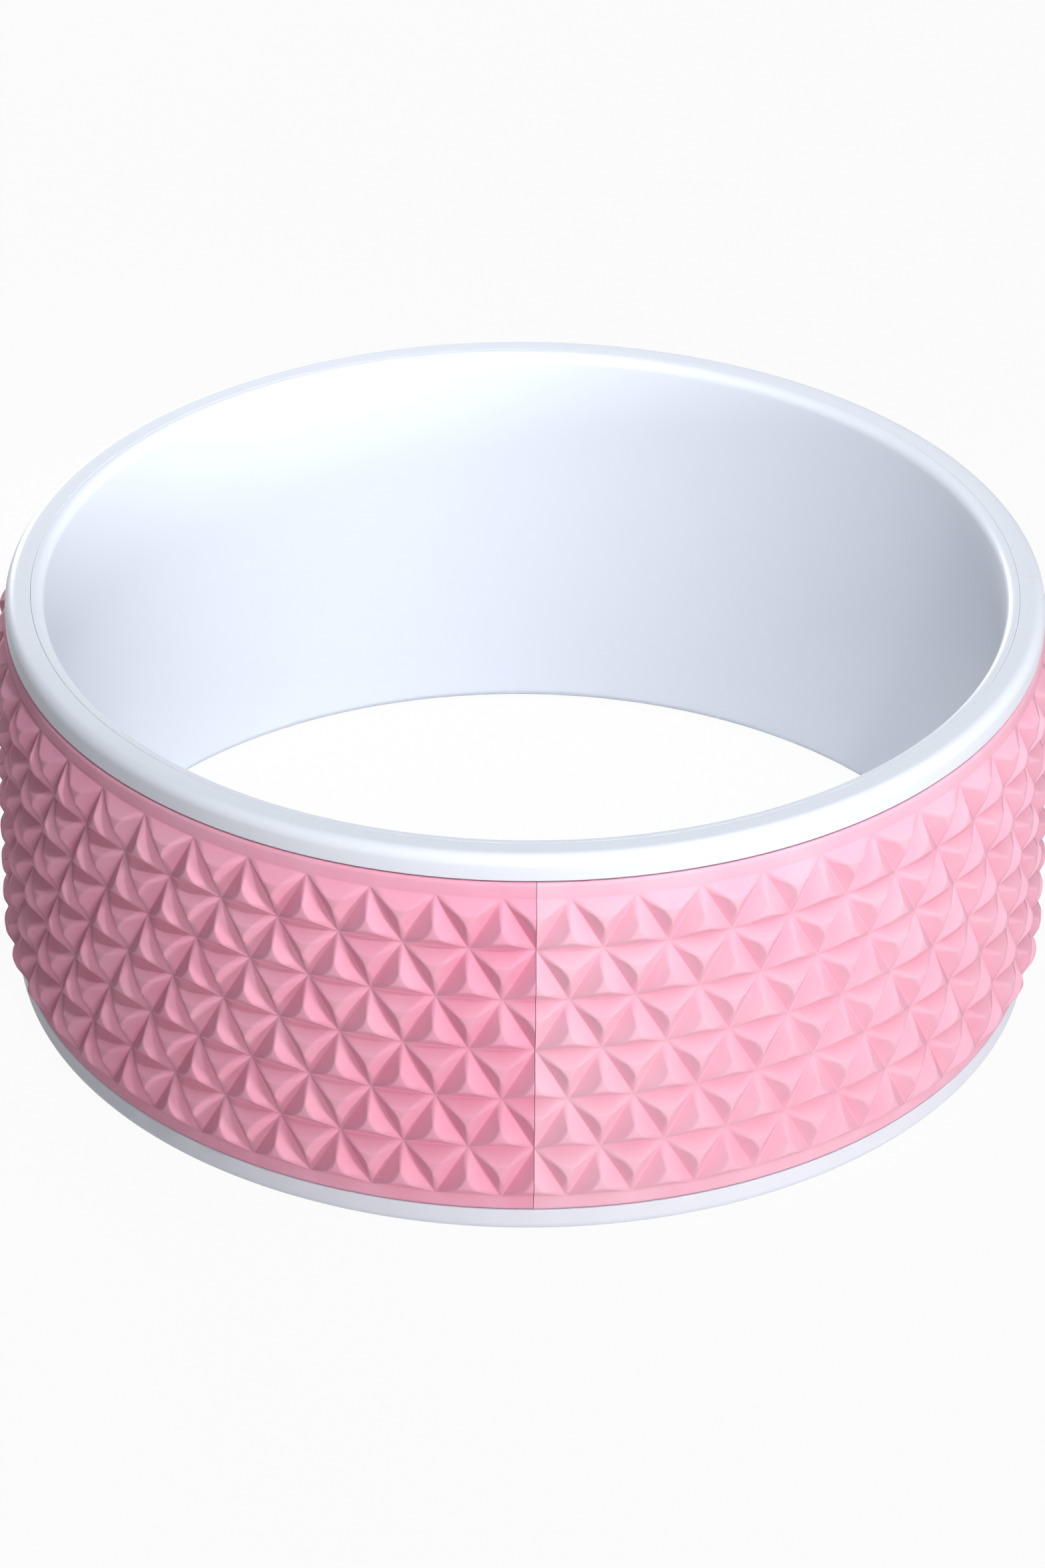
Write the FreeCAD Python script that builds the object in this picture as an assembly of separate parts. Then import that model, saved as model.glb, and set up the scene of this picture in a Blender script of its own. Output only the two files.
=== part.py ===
import FreeCAD, Part
import math
import os

# A yoga wheel, lying on one side: a white double-walled hoop with a padded tread mat round it.
# The axis of the wheel is Z, the hoop stands on z = 0, and the seam of the mat faces the -Y side.

# Driving dimensions of the whole wheel, in millimetres
wheel_width = 132.0
bore_radius = 148.5
fit_gap = 0.3
cut_overrun = 5.0

# Inner liner: the smooth white band that lines the bore
liner_wall = 4.0
liner_edge_radius = 3.4

# Outer shell: a channel in two halves, with a rounded lip along each side
shell_web_wall = 3.0
lip_rise = 4.7
lip_height = 8.1
lip_shoulder_radius = 3.5
shell_joint_gap = 0.3

# Lap between the two shell halves, hidden under the mat
lap_length = 12.0
lap_width = 80.0
lap_wall = 1.3

# Adhesive film that holds the mat on the shell
film_wall = 0.4
film_margin = 2.0

# Tread mat: a strip with rows of three-sided pads between star-shaped groove crossings
mat_base_wall = 4.2
mat_side_gap = 0.4
mat_margin = 5.0
mat_edge_drop = 1.0
mat_seam_gap = 0.4
pad_columns = 52
pad_rows = 6

# A pad is a low three-sided peak under a dome: the peak's rise sets how steep its flat sides are,
# and the dome, which passes through the pad's three corners, rounds it off lower down
peak_rise = 5.7
pad_rise = 4.2

# Radii that follow from the walls, from the bore outwards
liner_radius = bore_radius + liner_wall
shell_radius = liner_radius + fit_gap
web_radius = shell_radius + shell_web_wall
lip_radius = web_radius + lip_rise
film_radius = web_radius + fit_gap
film_outer_radius = film_radius + film_wall
mat_radius = film_outer_radius + fit_gap
groove_radius = mat_radius + mat_base_wall
mat_edge_radius = groove_radius - mat_edge_drop

# Heights that follow from the lips, from the floor upwards
channel_bottom = lip_height
channel_top = wheel_width - lip_height
mat_bottom = channel_bottom + mat_side_gap
mat_top = channel_top - mat_side_gap
first_row = mat_bottom + mat_margin
row_height = (mat_top - mat_margin - first_row) / pad_rows

axis_point = FreeCAD.Vector(0, 0, 0)
axis_direction = FreeCAD.Vector(0, 0, 1)


def profile_point(radius, height):
    """A point of a section in the XZ plane, which is turned round the axis later."""
    return FreeCAD.Vector(radius, 0, height)


def profile_line(start, end):
    return Part.LineSegment(profile_point(*start), profile_point(*end)).toShape()


def profile_arc(start, centre, end):
    """A quarter round from start to end about the centre."""
    radius = math.dist(start, centre)
    middle_radius = (start[0] - centre[0]) + (end[0] - centre[0])
    middle_height = (start[1] - centre[1]) + (end[1] - centre[1])
    reach = radius / math.hypot(middle_radius, middle_height)
    middle = (centre[0] + middle_radius * reach, centre[1] + middle_height * reach)
    return Part.Arc(profile_point(*start), profile_point(*middle), profile_point(*end)).toShape()


def turned(edges):
    """A closed section, turned once round the wheel's axis."""
    face = Part.Face(Part.Wire(edges))
    return face.revolve(axis_point, axis_direction, 360)


def tube(inner, outer, bottom, top):
    base = FreeCAD.Vector(0, 0, bottom)
    solid = Part.makeCylinder(outer, top - bottom, base)
    overrun = FreeCAD.Vector(0, 0, cut_overrun)
    bore = Part.makeCylinder(inner, top - bottom + 2 * cut_overrun, base - overrun)
    return solid.cut(bore)


def seam_cutter(gap):
    """A thin plate through the seam on the -Y side."""
    length = groove_radius + pad_rise + cut_overrun
    corner = FreeCAD.Vector(-gap / 2, -length, -cut_overrun)
    return Part.makeBox(gap, length, wheel_width + 2 * cut_overrun, corner)


def make_liner():
    """A plain band with both edges of its bore rounded."""
    bore = bore_radius
    rim = bore_radius + liner_edge_radius
    low = liner_edge_radius
    high = wheel_width - liner_edge_radius
    edges = [
        profile_line((bore, low), (bore, high)),
        profile_arc((bore, high), (rim, high), (rim, wheel_width)),
        profile_line((rim, wheel_width), (liner_radius, wheel_width)),
        profile_line((liner_radius, wheel_width), (liner_radius, 0)),
        profile_line((liner_radius, 0), (rim, 0)),
        profile_arc((rim, 0), (rim, low), (bore, low)),
    ]
    return turned(edges)


def make_shell_half():
    """The front half of the channel, on the -Y side, with its lap tongue on the -X side."""
    shoulder = lip_radius - lip_shoulder_radius
    low = lip_shoulder_radius
    high = wheel_width - lip_shoulder_radius
    edges = [
        profile_line((shell_radius, 0), (shell_radius, wheel_width)),
        profile_line((shell_radius, wheel_width), (shoulder, wheel_width)),
        profile_arc((shoulder, wheel_width), (shoulder, high), (lip_radius, high)),
        profile_line((lip_radius, high), (lip_radius, channel_top)),
        profile_line((lip_radius, channel_top), (web_radius, channel_top)),
        profile_line((web_radius, channel_top), (web_radius, channel_bottom)),
        profile_line((web_radius, channel_bottom), (lip_radius, channel_bottom)),
        profile_line((lip_radius, channel_bottom), (lip_radius, low)),
        profile_arc((lip_radius, low), (shoulder, low), (shoulder, 0)),
        profile_line((shoulder, 0), (shell_radius, 0)),
    ]
    ring = turned(edges)
    reach = lip_radius + cut_overrun
    half_corner = FreeCAD.Vector(-reach, -reach, -cut_overrun)
    half_depth = reach - shell_joint_gap / 2
    half_box = Part.makeBox(2 * reach, half_depth, wheel_width + 2 * cut_overrun, half_corner)
    half = ring.common(half_box)

    lap_bottom = (wheel_width - lap_width) / 2
    lap_ring = tube(shell_radius, shell_radius + lap_wall, lap_bottom, lap_bottom + lap_width)
    tongue_corner = FreeCAD.Vector(-reach, -lap_length, 0)
    tongue_box = Part.makeBox(reach, 2 * lap_length, wheel_width, tongue_corner)
    half = half.fuse(lap_ring.common(tongue_box))

    pocket_width = lap_width + 2 * fit_gap
    pocket_bottom = lap_bottom - fit_gap
    pocket_outer = shell_radius + lap_wall + fit_gap
    pocket_ring = tube(shell_radius - fit_gap, pocket_outer, pocket_bottom, pocket_bottom + pocket_width)
    pocket_length = lap_length + fit_gap
    pocket_corner = FreeCAD.Vector(0, -pocket_length, 0)
    pocket_box = Part.makeBox(reach, pocket_length, wheel_width, pocket_corner)
    return half.cut(pocket_ring.common(pocket_box))


def make_film():
    bottom = mat_bottom + film_margin
    top = mat_top - film_margin
    return tube(film_radius, film_outer_radius, bottom, top).cut(seam_cutter(mat_seam_gap))


def crossing(column, row):
    """A groove crossing of the mat: columns count round the wheel from the seam, rows count upwards."""
    angle = 2 * math.pi * column / pad_columns
    height = first_row + row * row_height
    return FreeCAD.Vector(groove_radius * math.sin(angle), -groove_radius * math.cos(angle), height)


def facet(points):
    return Part.Face(Part.makePolygon(points + points[:1]))


def solid_inside(faces):
    shell = Part.makeShell(faces)
    shell.sewShape()
    solid = Part.makeSolid(shell)
    if solid.Volume < 0:
        solid.reverse()
    return solid


def make_pad():
    """The outer faces of one pad in the lowest row, in the middle of the front and with its tip up."""
    corners = [crossing(-0.5, 0), crossing(0.5, 0), crossing(0, 1)]
    left, right, tip = corners
    outward = (right - left).cross(tip - left).normalize()
    opposite = [right.distanceToPoint(tip), tip.distanceToPoint(left), left.distanceToPoint(right)]
    middle = FreeCAD.Vector()
    for corner, side in zip(corners, opposite):
        middle += corner * (side / sum(opposite))
    peak = middle + outward * peak_rise
    sides = [facet([left, right, peak]), facet([right, tip, peak]), facet([tip, left, peak])]
    pyramid = solid_inside(sides + [facet(corners)])

    foot = Part.Circle(left, right, tip)
    dome_radius = (foot.Radius ** 2 + pad_rise ** 2) / (2 * pad_rise)
    dome = Part.makeSphere(dome_radius, foot.Center + outward * (pad_rise - dome_radius))
    faces = pyramid.common(dome).Faces
    faces.sort(key=lambda face: (face.CenterOfMass - left).dot(outward))
    return Part.makeCompound(faces[1:])


def placed_pad(pad, column, row):
    """A copy of a pad of the lowest row, turned to its column and lifted to its row."""
    copy = pad.copy()
    copy.rotate(axis_point, axis_direction, 360 * column / pad_columns)
    copy.translate(axis_direction * (row * row_height))
    return copy.Faces


def first_column(row):
    """Odd rows have a groove crossing on the seam, and even rows lie half a step beside it."""
    return 0 if row % 2 else 0.5


def edge_point(column, height):
    angle = 2 * math.pi * column / pad_columns
    x = mat_edge_radius * math.sin(angle)
    y = -mat_edge_radius * math.cos(angle)
    return FreeCAD.Vector(x, y, height)


def make_mat():
    """The whole strip as a ring of pads, bored out for the hoop and cut open at its seam."""
    pad_up = make_pad()
    pad_down = pad_up.copy()
    row_middle = FreeCAD.Vector(0, 0, first_row + row_height / 2)
    pad_down.rotate(row_middle, FreeCAD.Vector(0, 1, 0), 180)
    faces = []
    for row in range(pad_rows):
        for step in range(pad_columns):
            faces += placed_pad(pad_up, first_column(row) + step + 0.5, row)
            faces += placed_pad(pad_down, first_column(row + 1) + step + 0.5, row)
    for row, height in ((0, mat_bottom), (pad_rows, mat_top)):
        columns = [first_column(row) + step for step in range(pad_columns)]
        for column in columns:
            inner = [crossing(column, row), crossing(column + 1, row)]
            outer = [edge_point(column + 1, height), edge_point(column, height)]
            faces.append(facet(inner + outer))
        faces.append(facet([edge_point(column, height) for column in columns]))
    hollow_base = FreeCAD.Vector(0, 0, -cut_overrun)
    hollow = Part.makeCylinder(mat_radius, wheel_width + 2 * cut_overrun, hollow_base)
    return solid_inside(faces).cut(hollow).cut(seam_cutter(mat_seam_gap))


def main():
    os.makedirs("parts", exist_ok=True)
    front = make_shell_half()
    back = front.copy()
    back.rotate(axis_point, axis_direction, 180)
    pieces = {
        "inner_liner": make_liner(),
        "outer_shell_front": front,
        "outer_shell_back": back,
        "mat_adhesive_film": make_film(),
        "tread_mat": make_mat(),
    }
    for name, shape in pieces.items():
        shape.exportStep(f"parts/{name}.step")
        solids = len(shape.Solids)
        print(name, "solids", solids, "valid", shape.isValid(), "volume", round(shape.Volume))


main()
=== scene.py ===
# %% [markdown]
# This lesson dresses a yoga wheel: a white plastic hoop that lies on its side, with a pink mat of
# three-sided pads round it. The solids of the wheel come first and stay where they are. Every
# finished piece is made in the same frame, in metres, with the wheel's axis on Z and its lower lip
# on z = 0.

# %% Load the solids
import math

import bmesh
import bpy
from mathutils import Matrix, Vector


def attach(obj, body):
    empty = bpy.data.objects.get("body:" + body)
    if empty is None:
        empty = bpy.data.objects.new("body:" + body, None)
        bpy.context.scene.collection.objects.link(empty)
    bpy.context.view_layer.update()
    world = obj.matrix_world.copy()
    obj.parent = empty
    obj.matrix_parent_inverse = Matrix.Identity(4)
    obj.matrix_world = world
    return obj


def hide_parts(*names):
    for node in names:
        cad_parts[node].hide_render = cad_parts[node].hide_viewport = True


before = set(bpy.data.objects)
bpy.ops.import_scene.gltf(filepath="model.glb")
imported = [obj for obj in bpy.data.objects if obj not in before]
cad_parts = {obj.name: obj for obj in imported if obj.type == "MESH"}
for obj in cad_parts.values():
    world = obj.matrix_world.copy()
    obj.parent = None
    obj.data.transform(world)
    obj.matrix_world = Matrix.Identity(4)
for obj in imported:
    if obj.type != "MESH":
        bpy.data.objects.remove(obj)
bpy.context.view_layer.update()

# %% [markdown]
# The sizes are those of the solids, in millimetres, and one factor turns them into metres. Only
# the joints are drawn narrower than in the solids, which keep clearances there that a glued joint
# doesn't show: so the shell starts close to the liner. Values that only the looks need, such as
# the softness of an edge, come later, beside the piece that uses them.

# %% Sizes of the wheel
MM = 0.001
WHEEL_WIDTH = 132.0 * MM
BORE_RADIUS = 148.5 * MM
LINER_RADIUS = 152.5 * MM
SHELL_RADIUS = 152.57 * MM
WEB_RADIUS = 155.8 * MM
LIP_RADIUS = 160.5 * MM
LIP_HEIGHT = 8.1 * MM
MAT_BACK_RADIUS = 156.8 * MM
GROOVE_RADIUS = 161.0 * MM
MAT_EDGE_RADIUS = 160.0 * MM
MAT_BOTTOM = 8.5 * MM
MAT_MARGIN = 5.0 * MM
PEAK_RISE = 5.7 * MM
PAD_RISE = 4.2 * MM
PAD_COLUMNS = 52
PAD_ROWS = 6
MIDDLE = WHEEL_WIDTH / 2
FIRST_ROW = MAT_BOTTOM + MAT_MARGIN
ROW_HEIGHT = (WHEEL_WIDTH - 2 * FIRST_ROW) / PAD_ROWS
print("pad rows are", round(ROW_HEIGHT / MM, 2), "mm high")

# %% [markdown]
# Node trees are long to write socket by socket, so one small class wraps a socket. Plus, minus and
# times on it add Math nodes to its tree, in both orders, and so do divide and remainder. One
# method adds any other node: it takes the node's type, its settings, which are set first, and the
# values or links of its sockets.

# %% A socket that Python can do sums with
class Flow:
    def __init__(self, socket):
        self.socket = socket
        self.tree = socket.id_data

    @staticmethod
    def add(tree, kind, settings=None, sockets=None, output=0):
        node = tree.nodes.new(kind)
        for key, value in (settings or {}).items():
            setattr(node, key, value)
        for key, value in (sockets or {}).items():
            if isinstance(value, Flow):
                tree.links.new(value.socket, node.inputs[key])
            else:
                node.inputs[key].default_value = value
        return Flow(node.outputs[output])

    def maths(self, operation, first, second=0.0, clamp=False):
        settings = {"operation": operation, "use_clamp": clamp}
        return Flow.add(self.tree, "ShaderNodeMath", settings, {0: first, 1: second})

    def __add__(self, other):
        return self.maths("ADD", self, other)

    __radd__ = __add__

    def __mul__(self, other):
        return self.maths("MULTIPLY", self, other)

    __rmul__ = __mul__

    def __sub__(self, other):
        return self.maths("SUBTRACT", self, other)

    def __rsub__(self, other):
        return self.maths("SUBTRACT", other, self)

    def __truediv__(self, other):
        return self.maths("DIVIDE", self, other)

    def __mod__(self, other):
        return self.maths("FLOORED_MODULO", self, other)

    def floor(self):
        return self.maths("FLOOR", self)

    def clamped(self):
        return self.maths("ADD", self, 0.0, clamp=True)


print("sockets can be added, subtracted, multiplied and divided")

# %% [markdown]
# A Geometry Nodes tree needs named inputs, and its result has to become a plain mesh, because a
# piece that leaves Blender keeps no live modifiers. The helpers below make a tree with its inputs,
# run it on an empty object, keep the evaluated mesh and take the modifier off again. The faces of
# each closed mesh are then turned outwards, after its doubles are merged.

# %% Helpers for node trees and plain meshes
MERGE_DISTANCE = 0.002 * MM


def new_tree(name, inputs):
    tree = bpy.data.node_groups.new(name, "GeometryNodeTree")
    tree.interface.new_socket("Geometry", in_out="OUTPUT", socket_type="NodeSocketGeometry")
    for label, kind in inputs.items():
        tree.interface.new_socket(label, in_out="INPUT", socket_type="NodeSocket" + kind)
    entry = tree.nodes.new("NodeGroupInput")
    return tree, {label: Flow(entry.outputs[label]) for label in inputs}


def close_tree(tree, geometry, material):
    whole = Flow.add(tree, "GeometryNodeRealizeInstances", None, {"Geometry": geometry})
    merged = Flow.add(
        tree, "GeometryNodeMergeByDistance", None,
        {"Geometry": whole, "Distance": MERGE_DISTANCE},
    )
    smooth = Flow.add(tree, "GeometryNodeSetShadeSmooth", None, {0: merged})
    painted = Flow.add(
        tree, "GeometryNodeSetMaterial", None,
        {"Geometry": smooth, "Material": material},
    )
    leave = tree.nodes.new("NodeGroupOutput")
    tree.links.new(painted.socket, leave.inputs["Geometry"])


def turn_outwards(mesh):
    work = bmesh.new()
    work.from_mesh(mesh)
    bmesh.ops.remove_doubles(work, verts=work.verts, dist=MERGE_DISTANCE)
    bmesh.ops.recalc_face_normals(work, faces=work.faces)
    open_edges = sum(1 for edge in work.edges if not edge.is_manifold)
    work.to_mesh(mesh)
    work.free()
    return open_edges


def keep_result(holder):
    graph = bpy.context.evaluated_depsgraph_get()
    mesh = bpy.data.meshes.new_from_object(holder.evaluated_get(graph), depsgraph=graph)
    holder.modifiers.clear()
    holder.data = mesh
    mesh.name = holder.name
    return mesh


def plain_object(name, data):
    piece = bpy.data.objects.new(name, data)
    bpy.context.scene.collection.objects.link(piece)
    return piece


def run_tree(name, tree, values):
    holder = plain_object(name, bpy.data.meshes.new(name))
    rule = holder.modifiers.new("rule", "NODES")
    rule.node_group = tree
    for item in tree.interface.items_tree:
        if item.in_out == "INPUT":
            rule[item.identifier] = values[item.name]
    mesh = keep_result(holder)
    open_edges = turn_outwards(mesh)
    print(name, "has", len(mesh.polygons), "faces and", open_edges, "open edges")
    return holder


def forget(*helpers):
    for helper in helpers:
        bpy.data.objects.remove(helper)


print("helpers are ready")

# %% [markdown]
# The hoop is a satin white plastic, a little cool in tone. A moulded wall is never one flat
# colour: it has a faint cloudiness, its gloss changes slowly, and a fine grain breaks the
# reflections. Object coordinates carry these patterns, so they stay on the surface from every
# side. A Mix node has sockets for every kind of value, and several have the same name, so those of
# its colours go by number.

# %% White hoop plastic
MIX_FIRST, MIX_SECOND, MIX_RESULT = 6, 7, 2


def new_material(name):
    material = bpy.data.materials.new(name)
    material.use_nodes = True
    tree = material.node_tree
    place = Flow.add(tree, "ShaderNodeTexCoord", None, None, "Object")
    return material, tree, tree.nodes["Principled BSDF"], place


def noise(tree, place, scale, detail=3.0):
    sockets = {"Vector": place, "Scale": scale, "Detail": detail}
    return Flow.add(tree, "ShaderNodeTexNoise", None, sockets, "Fac")


def mixed(tree, share, first, second):
    sockets = {"Factor": share, MIX_FIRST: first, MIX_SECOND: second}
    return Flow.add(tree, "ShaderNodeMix", {"data_type": "RGBA"}, sockets, MIX_RESULT)


def feed(tree, shader, **flows):
    for label, flow in flows.items():
        tree.links.new(flow.socket, shader.inputs[label.replace("_", " ")])


def bump(tree, height, strength, distance):
    sockets = {"Strength": strength, "Distance": distance, "Height": height}
    return Flow.add(tree, "ShaderNodeBump", None, sockets, "Normal")


HOOP_DIM = (0.74, 0.77, 0.84, 1)
HOOP_BRIGHT = (0.77, 0.80, 0.865, 1)
HOOP_ROUGHNESS = 0.36
HOOP_ROUGHNESS_RANGE = 0.12
HOOP_SPECULAR = 0.3
hoop_white, tree, shader, place = new_material("hoop_white")
cloud = noise(tree, place, scale=14.0)
grain = noise(tree, place, scale=1400.0, detail=2.0)
gloss = noise(tree, place, scale=45.0, detail=4.0)
feed(
    tree, shader,
    Base_Color=mixed(tree, cloud, HOOP_DIM, HOOP_BRIGHT),
    Roughness=HOOP_ROUGHNESS + HOOP_ROUGHNESS_RANGE * gloss,
    Normal=bump(tree, grain, strength=0.06, distance=0.05 * MM),
)
shader.inputs["Specular IOR Level"].default_value = HOOP_SPECULAR
print("hoop_white is ready")

# %% [markdown]
# The mat is a soft pink elastomer with a matt skin. Its plain border is a little paler than the
# grooves, and the pink is slightly mottled. Its crowns are a little paler than its grooves: that
# is painted shade, laid into the grooves. The pink also deepens a little along the strip, from one
# end
# of it to the other: that is painted shade too, darkest at the end on the wheel's left, the side
# away from the key lamp. A fine grain roughens the skin, as moulded foam rubber has it, and hardly
# any light is thrown back straight, so that the shaded sides of the pads keep their colour.

# %% Pink mat rubber
MAT_DEEP = (0.75, 0.13, 0.29, 1)
MAT_PALE = (0.93, 0.62, 0.71, 1)
GROOVE_SHADE_WEIGHT = 0.06
PALE_BORDER = 0.06
PALE_MOTTLE = 0.3
PALE_START = 0.525
PAINTED_SHADE_ALONG = 0.21
BORDER_FADE = 1.0 * MM
MAT_ROUGHNESS = 0.62
MAT_ROUGHNESS_RANGE = 0.12
MAT_SPECULAR = 0.05
mat_pink, tree, shader, place = new_material("mat_pink")
east = Flow.add(tree, "ShaderNodeSeparateXYZ", None, {0: place}, "X")
sides = east.socket.node.outputs
north, upward = Flow(sides["Y"]), Flow(sides["Z"])
radius = east.maths("SQRT", east * east + north * north)
# Painted shade: the pink is deeper low in the grooves and paler up on the crowns.
painted_groove_shade = ((radius - GROOVE_RADIUS) / PAD_RISE).clamped()
# Painted shade: the pink deepens along the strip towards its end on the wheel's left, the side
# turned away from the key lamp.
along = (east.maths("ARCTAN2", east, 0.0 - north) / math.tau) % 1.0
off_middle = upward.maths("ABSOLUTE", upward - MIDDLE)
border = ((off_middle - PAD_ROWS * ROW_HEIGHT / 2) / BORDER_FADE).clamped()
mottle = noise(tree, place, scale=60.0, detail=4.0)
grain = noise(tree, place, scale=1800.0)
pale_share = painted_groove_shade * GROOVE_SHADE_WEIGHT + border * PALE_BORDER + mottle * PALE_MOTTLE + PALE_START
pale_share = (pale_share - along * PAINTED_SHADE_ALONG).clamped()
feed(
    tree, shader,
    Base_Color=mixed(tree, pale_share, MAT_DEEP, MAT_PALE),
    Roughness=MAT_ROUGHNESS + MAT_ROUGHNESS_RANGE * mottle,
    Normal=bump(tree, grain, strength=0.15, distance=0.08 * MM),
)
shader.inputs["Specular IOR Level"].default_value = MAT_SPECULAR
print("mat_pink is ready")

# %% [markdown]
# The adhesive film under the mat hardly shows. It is a thin milky layer with a slight grain.

# %% Adhesive film
FILM_DIM = (0.66, 0.65, 0.60, 1)
FILM_BRIGHT = (0.74, 0.73, 0.68, 1)
FILM_ROUGHNESS = 0.45
FILM_ROUGHNESS_RANGE = 0.2
film_milky, tree, shader, place = new_material("film_milky")
streak = noise(tree, place, scale=220.0)
feed(
    tree, shader,
    Base_Color=mixed(tree, streak, FILM_DIM, FILM_BRIGHT),
    Roughness=FILM_ROUGHNESS + FILM_ROUGHNESS_RANGE * streak,
)
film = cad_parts["mat_adhesive_film"]
film.data.materials.clear()
film.data.materials.append(film_milky)
print("film_milky is on", film.name)

# %% [markdown]
# The hoop's two parts have one section all the way round, so a section drawn as a closed curve is
# swept along an arc. Each corner of the section gets its own radius: large ones on the bore's edge
# and the lip's shoulder, and very small ones at the joint, where two mouldings meet and catch a
# thin light.

# %% Sections of the hoop
ARC_STEPS = 8
BORE_EDGE = 3.4 * MM
SHOULDER = 3.5 * MM
JOINT_EDGE = 0.18 * MM
LIP_UNDERCUT = 0.6 * MM


def rounded_section(corners):
    points = []
    for index, (radius, height, softness) in enumerate(corners):
        here = Vector((radius, height))
        before = Vector(corners[index - 1][:2]) - here
        after = Vector(corners[(index + 1) % len(corners)][:2]) - here
        half = before.angle(after) / 2
        before.normalize()
        after.normalize()
        middle = here + (before + after).normalized() * (softness / math.sin(half))
        start = here + before * (softness / math.tan(half)) - middle
        end = here + after * (softness / math.tan(half)) - middle
        for step in range(ARC_STEPS + 1):
            spoke = start.lerp(end, step / ARC_STEPS)
            points.append(middle + spoke.normalized() * softness)
    return points


def section_curve(name, corners):
    points = rounded_section(corners)
    curve = bpy.data.curves.new(name, "CURVE")
    curve.dimensions = "2D"
    spline = curve.splines.new("POLY")
    spline.points.add(len(points) - 1)
    for slot, point in zip(spline.points, points):
        slot.co = (point.x, point.y, 0, 1)
    spline.use_cyclic_u = True
    print(name, "has", len(points), "points")
    return plain_object(name, curve)


channel_top = WHEEL_WIDTH - LIP_HEIGHT
liner_section = section_curve("liner_section", [
    (BORE_RADIUS, 0, BORE_EDGE),
    (BORE_RADIUS, WHEEL_WIDTH, BORE_EDGE),
    (LINER_RADIUS, WHEEL_WIDTH, JOINT_EDGE),
    (LINER_RADIUS, 0, JOINT_EDGE),
])
shell_section = section_curve("shell_section", [
    (SHELL_RADIUS, 0, JOINT_EDGE),
    (SHELL_RADIUS, WHEEL_WIDTH, JOINT_EDGE),
    (LIP_RADIUS, WHEEL_WIDTH, SHOULDER),
    (LIP_RADIUS, channel_top, LIP_UNDERCUT),
    (WEB_RADIUS, channel_top, JOINT_EDGE),
    (WEB_RADIUS, LIP_HEIGHT, JOINT_EDGE),
    (LIP_RADIUS, LIP_HEIGHT, LIP_UNDERCUT),
    (LIP_RADIUS, 0, SHOULDER),
])

# %% [markdown]
# The sweep is a small tree. A level arc that runs close to the section carries it, so the section
# is first moved in by the arc's radius and turned over: its own numbers stay the radius and the
# height. The liner goes all the way round. Each shell half stops just short of a half turn, and
# the thin gap is the joint across the lip.

# %% Sweep the hoop's parts
PATH_RADIUS = (SHELL_RADIUS + LIP_RADIUS) / 2
JOINT_GAP = 0.08 * MM
TURN_STEPS = 288
sweep, given = new_tree("sweep_section", {
    "Section": "Object", "Start angle": "Float", "Sweep angle": "Float", "Steps": "Int",
    "Closed": "Bool",
})
arc = Flow.add(
    sweep, "GeometryNodeCurveArc", {"mode": "RADIUS"},
    {"Resolution": given["Steps"], "Radius": PATH_RADIUS, "Start Angle": given["Start angle"],
     "Sweep Angle": given["Sweep angle"]},
)
path = Flow.add(
    sweep, "GeometryNodeSetSplineCyclic", None,
    {"Geometry": arc, "Cyclic": given["Closed"]},
)
level = Flow.add(sweep, "GeometryNodeSetCurveNormal", {"mode": "Z_UP"}, {"Curve": path})
outline = Flow.add(
    sweep, "GeometryNodeObjectInfo", None,
    {"Object": given["Section"]}, "Geometry",
)
shifted = Flow.add(
    sweep, "GeometryNodeTransform", None,
    {"Geometry": outline, "Translation": (-PATH_RADIUS, 0, 0), "Rotation": (math.pi, 0, 0)},
)
swept = Flow.add(
    sweep, "GeometryNodeCurveToMesh", None,
    {"Curve": level, "Profile Curve": shifted, "Fill Caps": True},
)
close_tree(sweep, swept, hoop_white)

joint_turn = JOINT_GAP / LIP_RADIUS
whole_turn = {
    "Section": liner_section, "Start angle": 0.0, "Sweep angle": math.tau * (1 - 1 / TURN_STEPS),
    "Steps": TURN_STEPS, "Closed": True,
}
half_turn = {
    "Section": shell_section, "Start angle": joint_turn / 2, "Sweep angle": math.pi - joint_turn,
    "Steps": TURN_STEPS // 2 + 1, "Closed": False,
}
liner = run_tree("hoop_liner", sweep, whole_turn)
shell_back = run_tree("hoop_shell_back", sweep, half_turn)
half_turn["Start angle"] += math.pi
shell_front = run_tree("hoop_shell_front", sweep, half_turn)
forget(liner_section, shell_section)
for piece in (liner, shell_back, shell_front):
    reach = max(vert.co.to_2d().length for vert in piece.data.vertices)
    print(piece.name, "reaches", round(reach / MM, 2), "mm from the axis")

# %% [markdown]
# One pad of the mat is a low three-sided peak whose top is rounded off by a dome. It is drawn as
# rays from its middle to its three grooves: along each ray the pad follows the dome, then a short
# soft strip, and then the flat side down to the groove. Where dome and side meet is found by
# halving a stretch of the ray again and again. A few rings of points are enough, and they have to
# be few, because this shape is repeated more than six hundred times.

# %% One pad
CREST_SOFTNESS = 0.35 * MM
GROOVE_SOFTNESS = 0.35 * MM
CREST_LIMIT = 0.9
HALVINGS = 40
CROWN_RING = 0.55
SIDE_SHARES = (0.0, 0.16, 0.5, 0.84)


def crossing(column, height):
    angle = math.tau * column / PAD_COLUMNS
    return Vector((GROOVE_RADIUS * math.sin(angle), -GROOVE_RADIUS * math.cos(angle), height))


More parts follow.
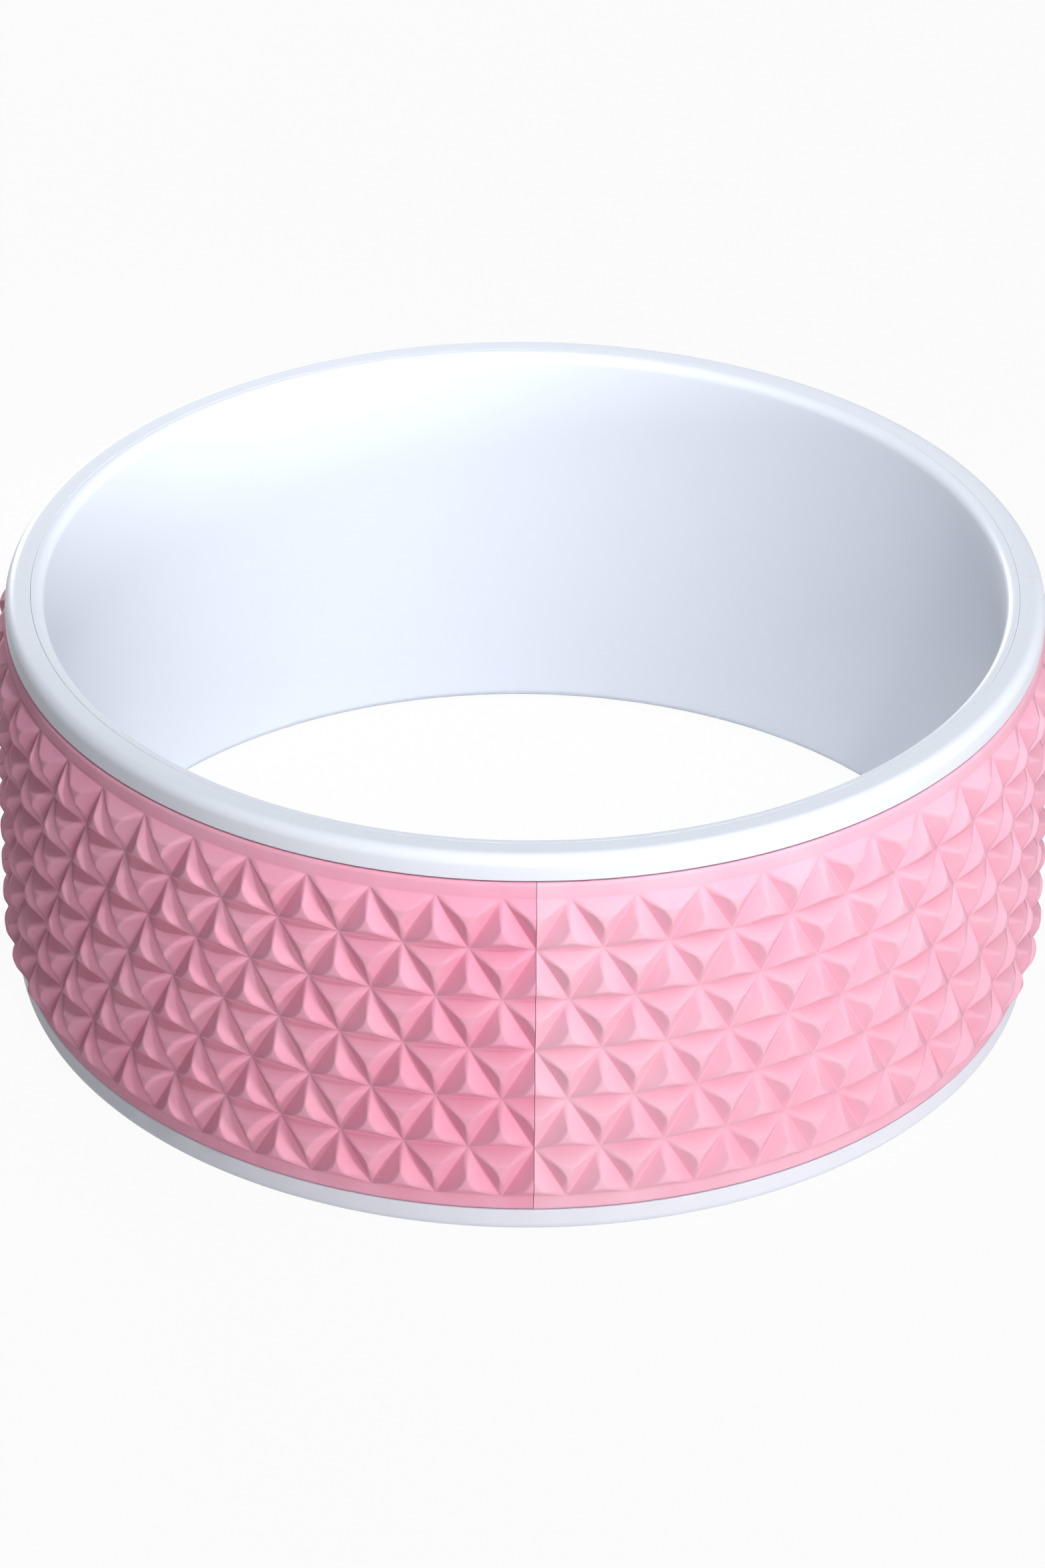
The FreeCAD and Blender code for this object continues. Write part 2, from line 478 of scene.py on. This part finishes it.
left = crossing(-0.5, -ROW_HEIGHT / 2)
right = crossing(0.5, -ROW_HEIGHT / 2)
tip = crossing(0, ROW_HEIGHT / 2)
base = (left + right) / 2
outward = (right - left).cross(tip - left).normalized()
across = (right - left).length
slant = (tip - left).length
heart = (left * slant + right * slant + tip * across) / (across + 2 * slant)
foot = tip + (left + right - 2 * tip) * (slant ** 2 / (base - tip).length_squared / 4)
foot_radius = (tip - foot).length
dome_radius = (foot_radius ** 2 + PAD_RISE ** 2) / (2 * PAD_RISE)
side_slope = math.atan2(PEAK_RISE, (heart - base).length)
print("the pad's side rises", round(math.degrees(side_slope)), "degrees")


def dome_height(point):
    return math.sqrt(dome_radius ** 2 - (point - foot).length_squared) - dome_radius + PAD_RISE


def crest_share(rim):
    low, high = 0.0, CREST_LIMIT
    for _ in range(HALVINGS):
        middle = (low + high) / 2
        if PEAK_RISE * (1 - middle) > dome_height(heart.lerp(rim, middle)):
            low = middle
        else:
            high = middle
    return low


def pad_ring_shares(rim):
    crest = crest_share(rim)
    soft = CREST_SOFTNESS / (rim - heart).length
    groove = 1 - GROOVE_SOFTNESS / (heart - base).length
    return [crest * CROWN_RING, crest - soft, crest + soft, groove, 1.0]


grooves = ((left, right), (right, tip), (tip, left))
rims = [start.lerp(end, share) for start, end in grooves for share in SIDE_SHARES]
points = [heart + outward * dome_height(heart)]
for rim in rims:
    for share in pad_ring_shares(rim):
        spot = heart.lerp(rim, share)
        rise = min(PEAK_RISE * (1 - share), dome_height(spot)) if share < 1 else 0.0
        points.append(spot + outward * rise)
rings = len(points) // len(rims)
faces = []
for ray in range(len(rims)):
    here = 1 + ray * rings
    there = 1 + (ray + 1) % len(rims) * rings
    faces.append((0, here, there))
    for ring in range(rings - 1):
        faces.append((here + ring, here + ring + 1, there + ring + 1, there + ring))
pad_mesh = bpy.data.meshes.new("pad")
pad_mesh.from_pydata(points, [], faces)
pad = plain_object("pad", pad_mesh)
print("one pad has", len(faces), "faces")

# %% [markdown]
# Between the last row of pads and the lip lies a plain margin, which rolls over at the mat's edge
# and goes down its side to the back, and there on to the middle of the width. A short piece of it,
# one pad wide, has the same points along the groove as the pad, so that the two join without a
# gap. Each of its rings is given as a drop below the groove and a radius.

# %% One piece of the margin
border_low = FIRST_ROW - MIDDLE
margin_rings = [
    (0.7 * MM, GROOVE_RADIUS),
    (3.7 * MM, GROOVE_RADIUS - 0.05 * MM),
    (4.4 * MM, GROOVE_RADIUS - 0.25 * MM),
    (4.85 * MM, GROOVE_RADIUS - 0.6 * MM),
    (MAT_MARGIN, MAT_EDGE_RADIUS),
    (MAT_MARGIN, MAT_BACK_RADIUS),
    (border_low, MAT_BACK_RADIUS),
]
start, end = crossing(-0.5, border_low), crossing(0.5, border_low)
groove_points = [start.lerp(end, share) for share in (*SIDE_SHARES, 1.0)]
points = list(groove_points)
for drop, ring_radius in margin_rings:
    for flat in groove_points:
        outwards = Vector((flat.x, flat.y, 0)).normalized() * ring_radius
        points.append(Vector((outwards.x, outwards.y, border_low - drop)))
wide = len(groove_points)
faces = []
for ring in range(len(margin_rings)):
    for step in range(wide - 1):
        here = ring * wide + step
        faces.append((here, here + wide, here + wide + 1, here + 1))
margin_mesh = bpy.data.meshes.new("margin")
margin_mesh.from_pydata(points, [], faces)
margin = plain_object("margin", margin_mesh)
print("one margin piece has", len(faces), "faces")

# %% [markdown]
# Now the rule of the mat. A cloud of points counts the pads: its index gives the column and the
# row, and every second line of them is turned tip down. The same is done for the margin, once
# below and once above. Six rows of fifty-two columns would be far too many to place by hand, and
# the tree's inputs say how many there are.

# %% Repeat the pad round the wheel
rule, given = new_tree("pads_round_wheel", {
    "Pad": "Object", "Margin": "Object", "Columns": "Int", "Rows": "Int", "Row height": "Float",
    "First row": "Float", "Middle": "Float",
})
index = Flow.add(rule, "GeometryNodeInputIndex")


def stand(shape, count, column, height, flipped):
    spot = Flow.add(rule, "ShaderNodeCombineXYZ", None, {"Z": height})
    cloud = Flow.add(rule, "GeometryNodePoints", None, {"Count": count, "Position": spot})
    turn = Flow.add(
        rule, "ShaderNodeCombineXYZ", None,
        {"Y": flipped * math.pi, "Z": column * math.tau / given["Columns"]},
    )
    swing = Flow.add(rule, "FunctionNodeEulerToRotation", None, {0: turn})
    solid = Flow.add(rule, "GeometryNodeObjectInfo", None, {"Object": shape}, "Geometry")
    return Flow.add(
        rule, "GeometryNodeInstanceOnPoints", None,
        {"Points": cloud, "Instance": solid, "Rotation": swing},
    )


line = (index / given["Columns"]).floor()
row = (line * 0.5).floor()
down = line % 2
offset = ((row + down + 1) % 2) * 0.5
pads = stand(
    given["Pad"], given["Columns"] * given["Rows"] * 2, index + offset + 0.5,
    given["First row"] + (row + 0.5) * given["Row height"], down,
)
margins = stand(given["Margin"], given["Columns"] * 2, index, given["Middle"], line)
joined = Flow.add(rule, "GeometryNodeJoinGeometry", None, {0: pads})
rule.links.new(margins.socket, joined.socket.node.inputs[0])
close_tree(rule, joined, mat_pink)
mat = run_tree("mat_of_pads", rule, {
    "Pad": pad, "Margin": margin, "Columns": PAD_COLUMNS, "Rows": PAD_ROWS,
    "Row height": ROW_HEIGHT, "First row": FIRST_ROW, "Middle": MIDDLE,
})
forget(pad, margin)

# %% [markdown]
# The mat is a strip, not a ring: its two ends meet in a butt seam at the front. Two cuts beside
# the seam take out a thin slice, the ends are closed, and the right end stands a little proud, as
# a glued end does. Only its outside is lifted, and its back stays on the film.

# %% Cut the seam
SEAM_GAP = 0.14 * MM
SEAM_LIFT = 0.2 * MM
SEAM_REACH = 14.0 * MM
STILL_BACK = 1.0 * MM
CUT_TOLERANCE = 1e-7
work = bmesh.new()
work.from_mesh(mat.data)
for side in (-0.5, 0.5):
    front = [face for face in work.faces if face.calc_center_median().y < 0]
    parts = front + list({edge for face in front for edge in face.edges})
    parts += list({vert for face in front for vert in face.verts})
    bmesh.ops.bisect_plane(
        work, geom=parts, dist=CUT_TOLERANCE, plane_co=(side * SEAM_GAP, 0, 0), plane_no=(1, 0, 0),
    )
slice_faces = [
    face for face in work.faces
    if face.calc_center_median().y < 0 and abs(face.calc_center_median().x) < SEAM_GAP / 2
]
bmesh.ops.delete(work, geom=slice_faces, context="FACES")
rim_edges = [edge for edge in work.edges if edge.is_boundary]
bmesh.ops.holes_fill(work, edges=rim_edges, sides=0)
for edge in rim_edges:
    edge.smooth = False
for vert in work.verts:
    if vert.co.y < 0 and 0 < vert.co.x < SEAM_REACH:
        outwards = Vector((vert.co.x, vert.co.y, 0)).normalized()
        if vert.co.to_2d().length > MAT_BACK_RADIUS + STILL_BACK:
            vert.co += outwards * SEAM_LIFT * (1 - vert.co.x / SEAM_REACH) ** 2
bmesh.ops.recalc_face_normals(work, faces=work.faces)
open_edges = sum(1 for edge in work.edges if edge.is_boundary)
print("the seam took out", len(slice_faces), "faces, open edges left:", open_edges)
work.to_mesh(mat.data)
work.free()

# %% [markdown]
# Smooth shading bends the light over every edge, and would make the pads look like pillows. A
# Weighted Normal modifier lets the large faces decide: crowns and sides keep their own light, and
# only the narrow strips between them turn it. Its result is kept as a plain mesh too.

# %% Let the large faces decide the light
even = mat.modifiers.new("even_light", "WEIGHTED_NORMAL")
even.mode = "FACE_AREA"
even.keep_sharp = True
keep_result(mat)
print("the mat has", len(mat.data.polygons), "faces, own normals:", mat.data.has_custom_normals)

# %% [markdown]
# Every piece now rides on the wheel's one body and stands for the solid of the same place.

# %% Tie the pieces to the solids
for piece, node, slot in (
    (liner, "inner_liner", "hoop_white"),
    (shell_front, "outer_shell_front", "hoop_white"),
    (shell_back, "outer_shell_back", "hoop_white"),
    (mat, "tread_mat", "mat_pink"),
):
    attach(piece, "root")
    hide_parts(node)
    print(piece.name, "stands for", node)

# %% [markdown]
# The wheel lies on a pale studio floor. Rays that come straight from the camera, and those that a
# glossy surface throws back, see the floor and the world nearly white, and the floor keeps a soft
# shadow. All other rays meet a grey floor and a dim, cool air, so that the lamps set the level of
# light on the wheel.

# %% Floor and world
FLOOR_REACH = 6.0
FLOOR_DIM = (0.60, 0.60, 0.60, 1)
FLOOR_BRIGHT = (0.64, 0.64, 0.64, 1)
FLOOR_ROUGHNESS = 0.9
FLOOR_SPECULAR = 0.1
FLOOR_WHITE = 0.95
WORLD_LIGHT = 0.09
AIR_COLOUR = (0.86, 0.93, 1.0, 1)
BACKDROP_WHITE = 0.96
PURE_WHITE = (1, 1, 1, 1)


def seen_rays(tree):
    rays = Flow.add(tree, "ShaderNodeLightPath", None, None, "Is Camera Ray")
    kinds = rays.socket.node.outputs
    return (rays + Flow(kinds["Is Glossy Ray"]) + Flow(kinds["Is Transmission Ray"])).clamped()


def show_blend(tree, share, first, second, output):
    sockets = {0: share, 1: Flow(first.outputs[0]), 2: second}
    blended = Flow.add(tree, "ShaderNodeMixShader", None, sockets)
    tree.links.new(blended.socket, tree.nodes[output].inputs["Surface"])


floor_mesh = bpy.data.meshes.new("studio_floor")
ends = (-FLOOR_REACH, FLOOR_REACH)
floor_mesh.from_pydata([(x, y, 0) for y in ends for x in ends], [], [(0, 1, 3, 2)])
floor = plain_object("studio_floor", floor_mesh)
floor_pale, tree, shader, place = new_material("floor_pale")
shader.inputs["Roughness"].default_value = FLOOR_ROUGHNESS
shader.inputs["Specular IOR Level"].default_value = FLOOR_SPECULAR
dust = noise(tree, place, scale=3.0)
feed(tree, shader, Base_Color=mixed(tree, dust, FLOOR_DIM, FLOOR_BRIGHT))
glow = Flow.add(tree, "ShaderNodeEmission", None, {"Color": PURE_WHITE, "Strength": 1.0})
show_blend(tree, seen_rays(tree) * FLOOR_WHITE, shader, glow, "Material Output")
floor_mesh.materials.append(floor_pale)

world = bpy.data.worlds.new("studio")
bpy.context.scene.world = world
world.use_nodes = True
tree = world.node_tree
air = tree.nodes["Background"]
air.inputs["Color"].default_value = AIR_COLOUR
air.inputs["Strength"].default_value = WORLD_LIGHT
backdrop = {"Color": PURE_WHITE, "Strength": BACKDROP_WHITE}
white = Flow.add(tree, "ShaderNodeBackground", None, backdrop)
show_blend(tree, seen_rays(tree), air, white, "World Output")
print("floor and world are set, world light", WORLD_LIGHT)

# %% [markdown]
# A small softbox stands low at the right and lights the pads from the side, so that their left
# sides fall into shade. A wider one in front fills that shade, a large one above keeps the lips
# bright, and a low one behind lights the far side. Two spot lamps with narrow beams, as snoots
# give them, reach over the front lip into the bore: the stronger one lights its left, and its
# right stays a little greyer.

# %% Lamps
WHEEL_HEART = (0, 0, MIDDLE)
COOL_LIGHT = (0.95, 0.975, 1.0)
SNOOT_RADIUS = 0.12


def aim(name, light, place, target):
    lamp = plain_object(name, light)
    lamp.location = place
    lamp.rotation_euler = (Vector(target) - Vector(place)).to_track_quat("-Z", "Y").to_euler()


def softbox(name, place, size, power, colour):
    light = bpy.data.lights.new(name, "AREA")
    light.shape = "SQUARE"
    light.size = size
    light.energy = power
    light.color = colour
    aim(name, light, place, WHEEL_HEART)


def snoot(name, target, way, power, spread):
    light = bpy.data.lights.new(name, "SPOT")
    light.energy = power
    light.spot_size = math.radians(spread)
    light.spot_blend = 1.0
    light.shadow_soft_size = SNOOT_RADIUS
    light.color = COOL_LIGHT
    aim(name, light, Vector(target) + Vector(way), target)


softbox("key_right", (1.50, -1.60, 0.25), size=0.35, power=18, colour=(1.0, 0.99, 0.98))
softbox("fill_front", (0.20, -2.12, 0.55), size=0.8, power=15, colour=(1.0, 0.99, 0.99))
softbox("top_right", (0.55, -0.50, 2.2), size=1.8, power=24, colour=COOL_LIGHT)
softbox("back_left", (-0.70, 2.05, 0.24), size=0.45, power=31, colour=(0.97, 0.985, 1.0))
snoot("bore_snoot_left", (-0.070, 0.115, 0.045), (0.62, -1.40, 1.70), power=178, spread=11)
snoot("bore_snoot_right", (0.118, 0.08, 0.05), (-0.75, -1.15, 1.75), power=104, spread=7.5)
print("four softboxes and two snoots are set")

# %% [markdown]
# The camera stands in front, about a third of the way up to straight above, with a long lens. Its
# place was worked out from the groove crossings and the lip edges of the photograph, and so were
# the small roll and the slight turn that puts the seam right of the middle.

# %% Camera
IMAGE_WIDTH, IMAGE_HEIGHT = 1568, 2352
FOCAL_PIXELS = 8909.0
SENSOR_WIDTH = 36.0
DISTANCE = 1869.0 * MM
ELEVATION = math.radians(31.81)
SEAM_TURN = math.radians(1.415)
ROLL = -0.0084
SHIFT_RIGHT = -0.34 * MM
SHIFT_UP = -7.3 * MM
camera_data = bpy.data.cameras.new("photo_camera")
camera_data.sensor_width = SENSOR_WIDTH
camera_data.lens = SENSOR_WIDTH * FOCAL_PIXELS / max(IMAGE_WIDTH, IMAGE_HEIGHT)
camera = plain_object("photo_camera", camera_data)
turn = Matrix.Rotation(-SEAM_TURN, 3, "Z")
level_right = turn @ Vector((1, 0, 0))
level_up = turn @ Vector((0, math.sin(ELEVATION), math.cos(ELEVATION)))
back = turn @ Vector((0, -math.cos(ELEVATION), math.sin(ELEVATION)))
spot = Vector(WHEEL_HEART) + back * DISTANCE + level_right * SHIFT_RIGHT + level_up * SHIFT_UP
axis_x = level_right * math.cos(ROLL) - level_up * math.sin(ROLL)
axis_y = level_right * math.sin(ROLL) + level_up * math.cos(ROLL)
pose = Matrix((axis_x, axis_y, back)).transposed().to_4x4()
pose.translation = spot
camera.matrix_world = pose
bpy.context.scene.camera = camera
bpy.context.scene.view_settings.view_transform = "Standard"
print("lens", round(camera_data.lens, 1), "mm, camera", [round(v, 3) for v in spot])
